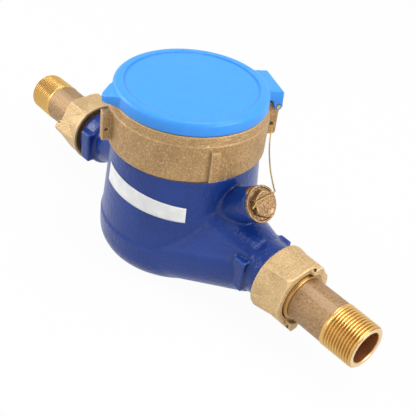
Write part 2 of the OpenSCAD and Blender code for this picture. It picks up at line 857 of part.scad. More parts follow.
module dial_plate() {
    window_left = units_right - number_count * number_wheel_pitch;
    color(white_plastic) hinge_frame() difference() {
        translate([0, 0, dial_z]) cylinder(r = dial_r, h = dial_t);
        translate([window_left, number_axle_y - dial_window_w / 2, dial_z - 1])
            cube([units_right - window_left, dial_window_w, dial_t + 2]);
        for (at = [[0, 0], second_at])
            translate([at[0], at[1], dial_z - 1]) cylinder(r = arbor_r + running_clear, h = dial_t + 2);
        translate([third_at[0], third_at[1], dial_z - 1]) cylinder(r = arbor_r + running_clear, h = 1 + pivot_depth);
    }
}

module dial_spacer() {
    color(white_plastic) translate([0, 0, dial_z + dial_t])
        ring_prism(dial_r, dial_r - 1.6, glass_z - dial_z - dial_t);
}

module glass() {
    color([0.85, 0.92, 0.95, 0.4]) translate([0, 0, glass_z]) cylinder(r = glass_r, h = glass_t);
}

module slip_washer() {
    color(black_rubber) translate([0, 0, can_top]) ring_prism(can_rim_r, ring_lip_d / 2, slip_washer_t);
}

// Gear train

// Outline of a spur gear with straight-sided teeth, one tooth centred on the angle turn
module gear_outline(teeth, turn) {
    pitch_r = gear_module * teeth / 2;
    root_r = pitch_r - 1.15 * gear_module;
    tip_r = pitch_r + 0.85 * gear_module;
    step = 360 / teeth;
    polygon([for (i = [0:teeth - 1], corner = [[-0.29, 0], [-0.1, 1], [0.1, 1], [0.29, 0]])
        let (angle = turn + (i + corner[0]) * step, r = corner[1] == 1 ? tip_r : root_r)
            [r * cos(angle), r * sin(angle)]]);
}

module gear(teeth, turn, z, height) {
    translate([0, 0, z]) linear_extrude(height) gear_outline(teeth, turn);
}

module arbor(low, high) {
    translate([0, 0, low]) cylinder(r = arbor_r, h = high - low);
}

module gear_frame() {
    color(turned_brass) hinge_frame() {
        difference() {
            union() {
                translate([0, 0, frame_z]) cylinder(r = frame_r, h = frame_t);
                for (turn = [90, 180, 270])
                    rotate([0, 0, turn]) translate([post_reach, 0, can_floor])
                        cylinder(r = post_r, h = frame_z + frame_t - can_floor);
                for (x = [bracket_left, bracket_right])
                    translate([x, number_axle_y - bracket_half, frame_z])
                        cube([bracket_t, 2 * bracket_half, number_axle_z + bracket_half - frame_z]);
            }
            for (at = [[0, 0], second_at, third_at])
                translate([at[0], at[1], frame_z - 1]) cylinder(r = arbor_r + running_clear, h = frame_t + 2);
            translate([bracket_left - 1, number_axle_y, number_axle_z]) rotate([0, 90, 0])
                cylinder(r = number_axle_r + thread_clear / 2, h = bracket_right - bracket_left + bracket_t + 2);
        }
    }
}

module follower_magnet() {
    color(black_rubber) translate([0, 0, magnet_z]) ring_prism(magnet_d / 2, arbor_r + thread_clear / 2, magnet_t);
}

module drive_pinion() {
    color(white_plastic) hinge_frame() {
        gear(pinion_n, -30, drive_pinion_z, pinion_t);
        arbor(can_floor - pivot_depth + level_gap / 2, frame_z + frame_t / 2 - 0.1);
    }
}

module second_gear() {
    color(white_plastic) hinge_frame() translate([second_at[0], second_at[1], 0]) {
        gear(wheel_n, 150 + 180 / wheel_n, second_wheel_z, wheel_t);
        gear(pinion_n, 90, second_pinion_z, pinion_t);
        arbor(can_floor - pivot_depth + level_gap / 2, star_z + star_t);
    }
}

module flow_star() {
    color([0.75, 0.12, 0.10]) hinge_frame() translate([second_at[0], second_at[1], star_z]) difference() {
        linear_extrude(star_t) polygon([for (i = [0:2 * star_points - 1])
            let (r = i % 2 == 0 ? star_r : star_r / 2, angle = i * 180 / star_points)
                [r * cos(angle), r * sin(angle)]]);
        translate([0, 0, -1]) cylinder(r = arbor_r + thread_clear / 2, h = star_t + 2);
    }
}

// Single-start worm: an off-centre circle that turns as it rises
module worm() {
    height = worm_turns * worm_pitch;
    rings = worm_turns * worm_steps;
    swept_rings([for (i = [0:rings])
        let (turn = 90 + 360 * (i / worm_steps - worm_turns / 2), z = number_axle_z + height * (i / rings - 0.5))
            [for (k = [0:worm_sides - 1])
                let (angle = turn + 360 * k / worm_sides)
                    [worm_offset * cos(turn) + worm_core_r * cos(angle),
                        worm_offset * sin(turn) + worm_core_r * sin(angle), z]]]);
}

module third_gear() {
    color(white_plastic) hinge_frame() translate([third_at[0], third_at[1], 0]) {
        gear(wheel_n, 270 + 180 / wheel_n, third_wheel_z, wheel_t);
        gear(sweep_pinion_n, 210, sweep_pinion_z, pinion_t);
        worm();
        arbor(can_floor - pivot_depth + level_gap / 2, dial_z + pivot_depth - level_gap / 2);
    }
}

module sweep_gear() {
    color(white_plastic) hinge_frame() {
        gear(sweep_wheel_n, 30 + 180 / sweep_wheel_n, sweep_wheel_z, wheel_t);
        arbor(frame_z + frame_t / 2 + 0.1, hand_z + hand_t);
    }
}

module sweep_hand() {
    color([0.75, 0.12, 0.10]) hinge_frame() translate([0, 0, hand_z]) difference() {
        linear_extrude(hand_t) {
            circle(hand_hub_r);
            polygon([[-0.9, -hand_tail], [0.9, -hand_tail], [0.25, hand_length], [-0.25, hand_length]]);
        }
        translate([0, 0, -1]) cylinder(r = arbor_r + thread_clear / 2, h = hand_t + 2);
    }
}

module number_axle() {
    color(steel) hinge_frame() translate([bracket_left, number_axle_y, number_axle_z]) rotate([0, 90, 0])
        cylinder(r = number_axle_r, h = bracket_right - bracket_left + bracket_t);
}

// Number wheel counted from the units end; the units wheel carries the worm wheel on a sleeve
module number_wheel(index) {
    width = number_wheel_pitch - number_wheel_gap;
    rim = 1.2;
    hub = number_axle_r + 1.2;
    right = units_right - (index - 1) * number_wheel_pitch;
    color(white_plastic) hinge_frame() translate([right - width, number_axle_y, number_axle_z])
        rotate([0, 90, 0]) difference() {
            union() {
                ring_prism(number_wheel_d / 2, number_wheel_d / 2 - rim, width);
                cylinder(d = number_wheel_d, h = width / 3);
                cylinder(r = hub, h = width);
                if (index == 1) {
                    cylinder(r = hub, h = bracket_right - right + width - number_wheel_gap);
                    translate([0, 0, third_at[0] - right + width - worm_wheel_t / 2]) linear_extrude(worm_wheel_t)
                        worm_wheel_outline();
                }
            }
            translate([0, 0, -1]) cylinder(r = number_axle_r + running_clear, h = 4 * number_wheel_d);
        }
}

module worm_wheel_outline() {
    root_r = worm_wheel_r - 0.7;
    tip_r = worm_wheel_r + 0.15;
    step = 360 / worm_wheel_n;
    polygon([for (i = [0:worm_wheel_n - 1], corner = [[-0.16, 0], [-0.06, 1], [0.06, 1], [0.16, 0]])
        let (angle = -90 + (i + 0.5 + corner[0]) * step, r = corner[1] == 1 ? tip_r : root_r)
            [r * cos(angle), r * sin(angle)]]);
}

module number_wheel_1() { number_wheel(1); }
module number_wheel_2() { number_wheel(2); }
module number_wheel_3() { number_wheel(3); }
module number_wheel_4() { number_wheel(4); }
module number_wheel_5() { number_wheel(5); }

// Seal wire

function unit(v) = v / norm(v);

function route_tangent(points, i) =
    unit(points[min(i + 1, len(points) - 1)] - points[max(i - 1, 0)]);

// Tube along points, its rings set out from a direction that no run of it follows
module tube_along(points, radius, sides, aside) {
    swept_rings([for (i = [0:len(points) - 1])
        let (t = route_tangent(points, i), u = unit(cross(t, aside)), w = cross(t, u))
            [for (k = [0:sides - 1])
                points[i] + radius * (u * cos(360 * k / sides) + w * sin(360 * k / sides))]]);
}

module seal_wire() {
    color([0.78, 0.67, 0.35]) tube_along(wire_route, wire_r, wire_sides, wire_aside);
}

body_casting();
inlet_tailpiece();
outlet_tailpiece();
inlet_union_nut();
outlet_union_nut();
inlet_union_washer();
outlet_union_washer();
regulator_plug();
plug_washer();
regulator_screw();
head_ring();
hinge_pin();
lid();
strainer();
chamber_cup();
chamber_cover();
impeller_pivot();
impeller();
impeller_magnet();
plate_gasket();
separating_plate();
register_can();
gear_frame();
follower_magnet();
drive_pinion();
second_gear();
flow_star();
third_gear();
sweep_gear();
sweep_hand();
number_axle();
number_wheel_1();
number_wheel_2();
number_wheel_3();
number_wheel_4();
number_wheel_5();
dial_plate();
dial_spacer();
glass();
slip_washer();
seal_wire();
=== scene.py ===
import math

import bmesh
import bpy
from mathutils import Matrix, Vector


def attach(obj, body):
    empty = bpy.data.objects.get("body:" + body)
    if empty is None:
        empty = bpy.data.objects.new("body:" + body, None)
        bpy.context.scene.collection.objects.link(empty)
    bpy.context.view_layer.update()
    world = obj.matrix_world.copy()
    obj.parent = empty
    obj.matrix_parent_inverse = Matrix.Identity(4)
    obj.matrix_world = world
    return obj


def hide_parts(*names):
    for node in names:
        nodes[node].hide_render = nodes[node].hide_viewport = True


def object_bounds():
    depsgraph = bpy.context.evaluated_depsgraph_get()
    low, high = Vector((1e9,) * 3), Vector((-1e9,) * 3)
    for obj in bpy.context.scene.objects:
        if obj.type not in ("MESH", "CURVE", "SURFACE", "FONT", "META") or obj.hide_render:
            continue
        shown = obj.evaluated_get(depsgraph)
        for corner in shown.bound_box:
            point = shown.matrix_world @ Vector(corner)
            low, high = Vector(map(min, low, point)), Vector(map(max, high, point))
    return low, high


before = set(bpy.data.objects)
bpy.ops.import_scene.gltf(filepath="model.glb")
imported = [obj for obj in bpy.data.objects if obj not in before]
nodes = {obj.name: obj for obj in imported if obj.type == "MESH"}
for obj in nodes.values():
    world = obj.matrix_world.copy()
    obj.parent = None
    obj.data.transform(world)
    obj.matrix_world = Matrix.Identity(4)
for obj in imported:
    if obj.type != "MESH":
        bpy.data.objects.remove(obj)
cad_low, cad_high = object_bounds()
scene = bpy.context.scene
mm = 0.001

# Camera
# The photograph looks down on the inlet end from its front right, through a short telephoto lens.
# The three directions are the picture's right, its up and the way back to the viewer.
picture_right = Vector((0.64334, 0.75786, 0.10847))
picture_up = Vector((-0.51190, 0.32047, 0.79702))
picture_back = Vector((0.56927, -0.56828, 0.59412))
viewpoint = Vector((304.2, -277.95, 330.9)) * mm
photo_camera = bpy.data.objects.new("photo_camera", bpy.data.cameras.new("photo_camera"))
photo_camera.data.lens = 70.66
photo_camera.data.sensor_width = 36
camera_turn = Matrix((picture_right, picture_up, picture_back)).transposed()
photo_camera.matrix_world = Matrix.Translation(viewpoint) @ camera_turn.to_4x4()
scene.collection.objects.link(photo_camera)
scene.camera = photo_camera
scene.view_settings.view_transform = "Standard"

# Studio
# A white sweep of paper under and behind the meter, and soft boxes above it, at both sides and in front.
# The camera, metal and glass see the sweep as white and the ceiling as grey. The floor takes a soft shadow.


def add_node(tree, kind, inputs=(), **settings):
    """A shader node with its settings made, and its inputs set to values or linked to sockets."""
    node = tree.nodes.new(kind)
    for name, value in settings.items():
        setattr(node, name, value)
    for name, value in dict(inputs).items():
        if isinstance(value, bpy.types.NodeSocket):
            tree.links.new(value, node.inputs[name])
        else:
            node.inputs[name].default_value = value
    return node


def calc(tree, operation, first, second=0.0):
    """The result of one sum on two values or sockets."""
    return add_node(tree, "ShaderNodeMath", {0: first, 1: second}, operation=operation).outputs[0]


def remap(tree, value, low, high, to_low=0.0, to_high=1.0):
    """A value carried from one range to another and held inside it."""
    ranges = {"Value": value, "From Min": low, "From Max": high, "To Min": to_low, "To Max": to_high}
    return add_node(tree, "ShaderNodeMapRange", ranges).outputs[0]


def seen_directly(tree):
    """1 for rays that come from the camera, a shiny surface or a clear one, and 0 for light that bounces."""
    path = add_node(tree, "ShaderNodeLightPath")
    shiny = calc(tree, "MAXIMUM", path.outputs["Is Camera Ray"], path.outputs["Is Glossy Ray"])
    return calc(tree, "MAXIMUM", shiny, path.outputs["Is Transmission Ray"])


floor_span = 6.0
floor_glow = 0.96
paper_white = (0.66, 0.66, 0.66, 1)
paper_rough = 0.9
half_floor = floor_span / 2
floor_sides = [(-1, -1), (1, -1), (1, 1), (-1, 1)]
floor_corners = [(x * half_floor, y * half_floor, cad_low.z) for x, y in floor_sides]
floor_mesh = bpy.data.meshes.new("paper_floor")
floor_mesh.from_pydata(floor_corners, [], [(0, 1, 2, 3)])
paper_floor = bpy.data.objects.new("paper_floor", floor_mesh)
scene.collection.objects.link(paper_floor)
paper = bpy.data.materials.new("studio_paper")
paper.use_nodes = True
paper_tree = paper.node_tree
paper_shader = paper_tree.nodes["Principled BSDF"]
paper_shader.inputs["Base Color"].default_value = paper_white
paper_shader.inputs["Roughness"].default_value = paper_rough
glow = add_node(paper_tree, "ShaderNodeEmission", {"Strength": 1.0})
glow_share = calc(paper_tree, "MULTIPLY", seen_directly(paper_tree), floor_glow)
paper_mix = add_node(
    paper_tree, "ShaderNodeMixShader", {0: glow_share, 1: paper_shader.outputs[0], 2: glow.outputs[0]}
)
paper_tree.links.new(paper_mix.outputs[0], paper_tree.nodes["Material Output"].inputs["Surface"])
floor_mesh.materials.append(paper)

ambient = 0.40
ceiling_level = 0.4
ceiling_low, ceiling_high = 0.35, 0.8
scene.world = bpy.data.worlds.new("studio_air")
scene.world.use_nodes = True
air = scene.world.node_tree
air.nodes["Background"].inputs["Color"].default_value = (1, 1, 1, 1)
sky = add_node(air, "ShaderNodeTexCoord").outputs["Generated"]
sky_height = add_node(air, "ShaderNodeSeparateXYZ", {0: sky}).outputs["Z"]
mirrored = remap(air, sky_height, ceiling_low, ceiling_high, to_low=1.0, to_high=ceiling_level)
air_level = remap(air, seen_directly(air), 0, 1, to_low=ambient, to_high=mirrored)
air.links.new(air_level, air.nodes["Background"].inputs["Strength"])
meter_middle = Vector((0, 0, 0.05))


def soft_box(name, place, size, watts):
    """A square lamp in a soft box, at a place in metres and turned to the meter."""
    lamp = bpy.data.lights.new(name, "AREA")
    lamp.size = size
    lamp.energy = watts
    box = bpy.data.objects.new(name, lamp)
    box.location = place
    box.rotation_euler = (meter_middle - Vector(place)).to_track_quat("-Z", "Y").to_euler()
    scene.collection.objects.link(box)


soft_box("left_box", (-0.84, -0.5, 0.5), size=0.6, watts=7.2)
soft_box("front_box", (0.15, -0.95, 0.45), size=0.6, watts=1.0)
soft_box("top_box", (0.1, 0.15, 1.0), size=0.8, watts=6.2)
soft_box("right_box", (0.9, 0.2, 0.45), size=0.5, watts=5.4)

# Body
# One sand casting in brass: a drum for the measuring chamber, an inlet horn, an outlet neck, round collars
# with wrench lugs, and a regulator boss. It is sprayed in glossy navy enamel, with bare threaded ends.
weld_gap = 1e-6


def copy_of(node, name):
    """A new object with a CAD node's shape, its corners joined so that it is one closed skin."""
    shape = bmesh.new()
    shape.from_mesh(nodes[node].data)
    bmesh.ops.remove_doubles(shape, verts=shape.verts, dist=weld_gap)
    mesh = bpy.data.meshes.new(name)
    shape.to_mesh(mesh)
    shape.free()
    piece = bpy.data.objects.new(name, mesh)
    scene.collection.objects.link(piece)
    return piece


def settle(piece):
    """Makes a piece's modifiers part of its mesh."""
    bpy.context.view_layer.update()
    made = bpy.data.meshes.new_from_object(piece.evaluated_get(bpy.context.evaluated_depsgraph_get()))
    piece.modifiers.clear()
    piece.data = made


def even_skin(piece, voxel):
    """Covers a piece in small even faces, so that its edges can be rounded."""
    remesh = piece.modifiers.new("voxels", "REMESH")
    remesh.mode = "VOXEL"
    remesh.voxel_size = voxel
    settle(piece)


def round_off(piece, rounds, softness=None):
    """Rounds a piece's edges as a mould does; softness gives each point's share of the rounding."""
    rounding = piece.modifiers.new("rounding", "SMOOTH")
    rounding.factor = 0.5
    rounding.iterations = rounds
    if softness:
        shares = piece.vertex_groups.new(name="softness")
        for point in piece.data.vertices:
            shares.add([point.index], softness(point.co), "REPLACE")
        rounding.vertex_group = shares.name
    settle(piece)
    piece.vertex_groups.clear()


def thin_out(piece, keep):
    """Leaves a share of a piece's faces where they are flat, and shades it as one smooth skin."""
    thinning = piece.modifiers.new("thinning", "DECIMATE")
    thinning.ratio = keep
    settle(piece)
    piece.data.materials.clear()
    piece.data.shade_smooth()


def stand_for(piece, node, body, finish):
    """The piece takes a CAD node's place on a body, with a finish of the record's slot."""
    piece.data.materials.append(finish)
    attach(piece, body)
    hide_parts(node)


def new_finish(name):
    """An empty node material: the material, its node tree and its shader."""
    finish = bpy.data.materials.new(name)
    finish.use_nodes = True
    return finish, finish.node_tree, finish.node_tree.nodes["Principled BSDF"]


def blend_colour(tree, share, first, second):
    """A colour that goes from the first to the second as the share goes from 0 to 1."""
    return add_node(tree, "ShaderNodeMix", {0: share, 6: first, 7: second}, data_type="RGBA").outputs[2]


def part_place(tree):
    """The place on the meter, in metres, split into its three directions."""
    spot = add_node(tree, "ShaderNodeTexCoord").outputs["Object"]
    return add_node(tree, "ShaderNodeSeparateXYZ", {0: spot}).outputs


def new_group(name, inputs, outputs):
    """An empty group of shader nodes with named number sockets: the group, its entry and its exit."""
    group = bpy.data.node_groups.new(name, "ShaderNodeTree")
    for socket, value in inputs.items():
        entry = group.interface.new_socket(socket, in_out="INPUT", socket_type="NodeSocketFloat")
        entry.default_value = value
    for socket in outputs:
        group.interface.new_socket(socket, in_out="OUTPUT", socket_type="NodeSocketFloat")
    return group, group.nodes.new("NodeGroupInput"), group.nodes.new("NodeGroupOutput")


# Sand grain of a casting: fine bumps, slow patches over a few millimetres, and a few bright specks.
sand_grain, grain_in, grain_out = new_group("sand_grain", {"Fineness": 900.0}, ["Grain", "Patches", "Specks"])
grain_spot = add_node(sand_grain, "ShaderNodeTexCoord").outputs["Object"]
fineness = grain_in.outputs["Fineness"]
patch_share, speck_share = 0.08, 0.9
grain_low, grain_high = 0.3, 0.7
patch_low, patch_high = 0.35, 0.65
speck_rarity = 0.86
speck_rim, speck_core = 0.45, 0.2
fine = add_node(sand_grain, "ShaderNodeTexNoise", {"Vector": grain_spot, "Scale": fineness, "Detail": 4.0})
patch_scale = calc(sand_grain, "MULTIPLY", fineness, patch_share)
slow = add_node(sand_grain, "ShaderNodeTexNoise", {"Vector": grain_spot, "Scale": patch_scale, "Detail": 3.0})
speck_scale = calc(sand_grain, "MULTIPLY", fineness, speck_share)
cells = add_node(sand_grain, "ShaderNodeTexVoronoi", {"Vector": grain_spot, "Scale": speck_scale})
cell_draw = add_node(sand_grain, "ShaderNodeSeparateColor", {0: cells.outputs["Color"]}).outputs[0]
chosen_cells = calc(sand_grain, "GREATER_THAN", cell_draw, speck_rarity)
speck_middles = remap(sand_grain, cells.outputs["Distance"], speck_rim, speck_core)
specks = calc(sand_grain, "MULTIPLY", chosen_cells, speck_middles)
sand_grain.links.new(remap(sand_grain, fine.outputs[0], grain_low, grain_high), grain_out.inputs["Grain"])
sand_grain.links.new(remap(sand_grain, slow.outputs[0], patch_low, patch_high), grain_out.inputs["Patches"])
sand_grain.links.new(specks, grain_out.inputs["Specks"])

# Worn edges and filled hollows, read from how sharply the surface bends.
edge_wear, wear_in, wear_out = new_group("edge_wear", {"Reach": 0.04}, ["Edges", "Hollows"])
bend = add_node(edge_wear, "ShaderNodeNewGeometry").outputs["Pointiness"]
flat_bend = 0.5
flat_band = 0.005
edge_high = calc(edge_wear, "ADD", wear_in.outputs["Reach"], flat_bend)
hollow_low = calc(edge_wear, "SUBTRACT", flat_bend, wear_in.outputs["Reach"])
edge_wear.links.new(remap(edge_wear, bend, flat_bend + flat_band, edge_high), wear_out.inputs["Edges"])
edge_wear.links.new(remap(edge_wear, bend, flat_bend - flat_band, hollow_low), wear_out.inputs["Hollows"])


def use_group(tree, group, **values):
    """One use of a shared effect in a material, with its own values."""
    node = tree.nodes.new("ShaderNodeGroup")
    node.node_tree = group
    for name, value in values.items():
        node.inputs[name].default_value = value
    return node.outputs


def grain_bump(tree, shader, height, strength, depth):
    """Small bumps on a surface, from a height that changes over it."""
    bump = add_node(tree, "ShaderNodeBump", {"Strength": strength, "Distance": depth, "Height": height})
    tree.links.new(bump.outputs[0], shader.inputs["Normal"])


navy = (0.005, 0.031, 0.20, 1)
navy_thin = (0.009, 0.044, 0.255, 1)
navy_deep = (0.002, 0.010, 0.080, 1)
navy_edge = (0.045, 0.12, 0.42, 1)
bare_brass = (0.50, 0.30, 0.11, 1)
shoulder_z = 74.6 * mm
collar_end = 86.5 * mm
bare_rim = 0.3 * mm
bare_metal = 0.9
thin_edge_share = 0.5
enamel_rough_low, enamel_rough_high = 0.24, 0.36
enamel, enamel_tree, enamel_shader = new_finish("navy_enamel")
enamel_xyz = part_place(enamel_tree)
enamel_grain = use_group(enamel_tree, sand_grain, Fineness=420.0)
enamel_edges = use_group(enamel_tree, edge_wear, Reach=0.05)
paint_colour = blend_colour(enamel_tree, enamel_grain["Patches"], navy, navy_thin)
paint_colour = blend_colour(enamel_tree, enamel_edges["Hollows"], paint_colour, navy_deep)
thin_edges = calc(enamel_tree, "MULTIPLY", enamel_edges["Edges"], thin_edge_share)
paint_colour = blend_colour(enamel_tree, thin_edges, paint_colour, navy_edge)
above_shoulder = calc(enamel_tree, "GREATER_THAN", enamel_xyz["Z"], shoulder_z - bare_rim)
along_pipe = calc(enamel_tree, "ABSOLUTE", enamel_xyz["X"])
past_collar = calc(enamel_tree, "GREATER_THAN", along_pipe, collar_end - bare_rim)
bare = calc(enamel_tree, "MAXIMUM", above_shoulder, past_collar)
body_colour = blend_colour(enamel_tree, bare, paint_colour, bare_brass)
enamel_tree.links.new(body_colour, enamel_shader.inputs["Base Color"])
enamel_tree.links.new(calc(enamel_tree, "MULTIPLY", bare, bare_metal), enamel_shader.inputs["Metallic"])
enamel_rough = remap(enamel_tree, enamel_grain["Patches"], 0, 1, enamel_rough_low, enamel_rough_high)
enamel_tree.links.new(enamel_rough, enamel_shader.inputs["Roughness"])
enamel_shader.inputs["Specular IOR Level"].default_value = 0.32
enamel_shader.inputs["Coat Weight"].default_value = 0.12
enamel_shader.inputs["Coat Roughness"].default_value = 0.1
grain_bump(enamel_tree, enamel_shader, enamel_grain["Grain"], strength=0.32, depth=0.6 * mm)

cavity_fill_r = 38.4 * mm
cavity_fill_low, cavity_fill_high = 5 * mm, 87.9 * mm
pipe_axis_z = 32 * mm
pipe_fill_r = 11 * mm
pipe_fill_end = 94.9 * mm
boss_fill_r = 5.6 * mm
boss_fill_reach = 64.4 * mm
boss_seat = Vector((64.5 * mm, 0, 68 * mm))
boss_tilt = math.radians(34)
fill_sides = 64


def fill_bore(shape, radius, length, placing):
    """Closes a bore that nothing outside can see, with a round bar along its axis."""
    bmesh.ops.create_cone(
        shape, cap_ends=True, segments=fill_sides, radius1=radius, radius2=radius,
        depth=length, matrix=placing,
    )


belly_top_z = 26 * mm
ledge_reach = 3 * mm
ledge_r = 44 * mm
horn_from, horn_to = 16 * mm, 68 * mm
horn_blend = 9 * mm
horn_top_z = 62 * mm
lug_y = 16.5 * mm
drum_softness, ledge_softness, lug_softness = 0.2, 0.05, 0.07


def body_softness(spot):
    """How far a point of the casting is rounded: most where the horns meet the drum, least on its ledge."""
    along = abs(spot.x)
    if along < horn_to and abs(spot.z - belly_top_z) < ledge_reach and math.hypot(spot.x, spot.y) > ledge_r:
        return ledge_softness
    if along > horn_to and abs(spot.y) > lug_y:
        return lug_softness
    if spot.z > horn_top_z:
        return drum_softness
    inside = min((along - horn_from) / horn_blend, (horn_to - along) / horn_blend)
    return drum_softness + (1 - drum_softness) * min(max(inside, 0.0), 1.0)


body_skin = copy_of("body_casting", "body_skin")
body_shape = bmesh.new()
body_shape.from_mesh(body_skin.data)
cavity_middle = Matrix.Translation((0, 0, (cavity_fill_high + cavity_fill_low) / 2))
fill_bore(body_shape, cavity_fill_r, cavity_fill_high - cavity_fill_low, cavity_middle)
across = Matrix.Rotation(math.pi / 2, 4, "Y")
fill_bore(body_shape, pipe_fill_r, 2 * pipe_fill_end, Matrix.Translation((0, 0, pipe_axis_z)) @ across)
boss_turn = Matrix.Translation(boss_seat) @ Matrix.Rotation(math.pi / 2 - boss_tilt, 4, "Y")
boss_middle = boss_turn @ Matrix.Translation((0, 0, -boss_fill_reach / 2))
fill_bore(body_shape, boss_fill_r, boss_fill_reach, boss_middle)
body_shape.to_mesh(body_skin.data)
body_shape.free()
even_skin(body_skin, voxel=0.75 * mm)
round_off(body_skin, rounds=36, softness=body_softness)
thin_out(body_skin, keep=0.45)
stand_for(body_skin, "body_casting", "case", enamel)

# Measuring chamber
# A moulded strainer, cup and cover round the impeller, which turns on a ground pivot and carries a magnet.
# A brass plate on a gasket keeps the water below the dry register.
gloss_drift = 0.12


def dress(names, finish):
    """Gives CAD nodes a finish in place of their plain colour."""
    for name in names:
        nodes[name].data.materials.clear()
        nodes[name].data.materials.append(finish)


def mottled(name, first, second, fineness, rough, metal):
    """A plain surface whose colour and gloss drift a little from place to place."""
    finish, tree, shader = new_finish(name)
    grain = use_group(tree, sand_grain, Fineness=fineness)
    tree.links.new(blend_colour(tree, grain["Patches"], first, second), shader.inputs["Base Color"])
    tree.links.new(remap(tree, grain["Grain"], 0, 1, rough, rough + gloss_drift), shader.inputs["Roughness"])
    shader.inputs["Metallic"].default_value = metal
    return finish


white_acetal = mottled(
    "white_acetal", (0.80, 0.80, 0.77, 1), (0.72, 0.72, 0.69, 1), fineness=800, rough=0.4, metal=0
)
ground_steel = mottled(
    "ground_steel", (0.55, 0.56, 0.58, 1), (0.45, 0.46, 0.48, 1), fineness=1500, rough=0.28, metal=1
)
grey_ferrite = mottled(
    "grey_ferrite", (0.05, 0.05, 0.055, 1), (0.08, 0.08, 0.085, 1), fineness=1500, rough=0.5, metal=0.3
)
turned_brass = mottled(
    "turned_brass", (0.72, 0.50, 0.20, 1), (0.62, 0.40, 0.14, 1), fineness=900, rough=0.25, metal=0.85
)
black_rubber = mottled(
    "black_rubber", (0.018, 0.018, 0.02, 1), (0.03, 0.03, 0.03, 1), fineness=1200, rough=0.7, metal=0
)
dress(["strainer", "chamber_cup", "chamber_cover", "impeller"], white_acetal)
dress(["impeller_pivot"], ground_steel)
dress(["impeller_magnet"], grey_ferrite)
dress(["separating_plate"], turned_brass)
dress(["plate_gasket", "slip_washer"], black_rubber)

# Register
# A dry train of moulded gears in a can, on a stamped brass frame: a magnet takes the impeller's turning
# through the plate, and the gears slow it down for the sweep hand and the first number wheel.
dress(["register_can", "drive_pinion", "second_gear", "third_gear", "sweep_gear"], white_acetal)
dress(["follower_magnet"], grey_ferrite)
dress(["gear_frame"], turned_brass)
dress(["number_axle"], ground_steel)

# Number wheels
# Five moulded drums on one steel axle, in line with the hinge, with ten black figures printed round each.
# All stand at nought in the dial's window.
hinge_azimuth = 68
hinge_turn = Matrix.Rotation(math.radians(hinge_azimuth - 90), 4, "Z")
ink_lift = 0.04 * mm
window_left, window_right = -14.9 * mm, 7.1 * mm
wheel_axle = Vector((0, 14 * mm, 86.3 * mm))
wheel_r = 6.2 * mm
wheel_pitch, wheel_width = 4.4 * mm, 4.2 * mm
wheel_figure_h = 2.5 * mm
wheel_count, figure_count = 5, 10
type_size = 1.4


def figure_mesh(text, height):
    """The flat outline of a printed figure, centred on the origin."""
    curve = bpy.data.curves.new("figure", "FONT")
    curve.body = text
    curve.size = height * type_size
    curve.align_x = "CENTER"
    curve.align_y = "CENTER"
    sample = bpy.data.objects.new("figure", curve)
    scene.collection.objects.link(sample)
    bpy.context.view_layer.update()
    made = bpy.data.meshes.new_from_object(sample.evaluated_get(bpy.context.evaluated_depsgraph_get()))
    bpy.data.objects.remove(sample)
    bpy.data.curves.remove(curve)
    return made


def print_piece(name, shape, body, finish):
    """A print as a piece on its body."""
    mesh = bpy.data.meshes.new(name)
    shape.to_mesh(mesh)
    shape.free()
    mesh.materials.append(finish)
    piece = bpy.data.objects.new(name, mesh)
    scene.collection.objects.link(piece)
    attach(piece, body)


black_ink = mottled(
    "black_ink", (0.012, 0.012, 0.014, 1), (0.03, 0.03, 0.03, 1), fineness=1500, rough=0.5, metal=0
)
ink_r = wheel_r + ink_lift
for count in range(1, wheel_count + 1):
    wheel_shape = bmesh.new()
    wheel_middle = window_right - (count - 1) * wheel_pitch - wheel_width / 2
    for digit in range(figure_count):
        figure = figure_mesh(str(digit), wheel_figure_h)
        for point in figure.vertices:
            roll = math.pi / 2 - digit * 2 * math.pi / figure_count - point.co.y / wheel_r
            spot = Vector((wheel_middle + point.co.x, ink_r * math.cos(roll), ink_r * math.sin(roll)))
            point.co = wheel_axle + spot
        figure.transform(hinge_turn)
        wheel_shape.from_mesh(figure)
        bpy.data.meshes.remove(figure)
    print_piece("number_print_%d" % count, wheel_shape, "wheel_%d" % count, black_ink)
    dress(["number_wheel_%d" % count], white_acetal)

# Dial
# A white plate on the register can, printed with a hundred marks, figures at every tenth and a line round the
# window. A red sweep hand and a red flow star turn above it, under a clear glass held by a spacer.
dial_top = 94.2 * mm
mark_out_r = 35.2 * mm
mark_in_r, long_mark_in_r = 33.2 * mm, 31.4 * mm
mark_w, long_mark_w = 0.3 * mm, 0.6 * mm
figure_r, figure_h = 28.4 * mm, 3.4 * mm
window_low, window_high = 11.3 * mm, 16.7 * mm
window_line = 0.4 * mm
marks, marks_a_figure = 100, 10
glass_clear, glass_green = (0.93, 0.97, 0.97, 1), (0.90, 0.96, 0.95, 1)


def add_strip(shape, x0, y0, x1, y1, placing):
    """One printed rectangle in a flat print."""
    corners = [(x0, y0), (x1, y0), (x1, y1), (x0, y1)]
    shape.faces.new([shape.verts.new(placing @ Vector((x, y, 0))) for x, y in corners])


def add_figure(shape, text, height, placing):
    """One printed figure in a flat print."""
    figure = figure_mesh(text, height)
    figure.transform(placing)
    shape.from_mesh(figure)
    bpy.data.meshes.remove(figure)


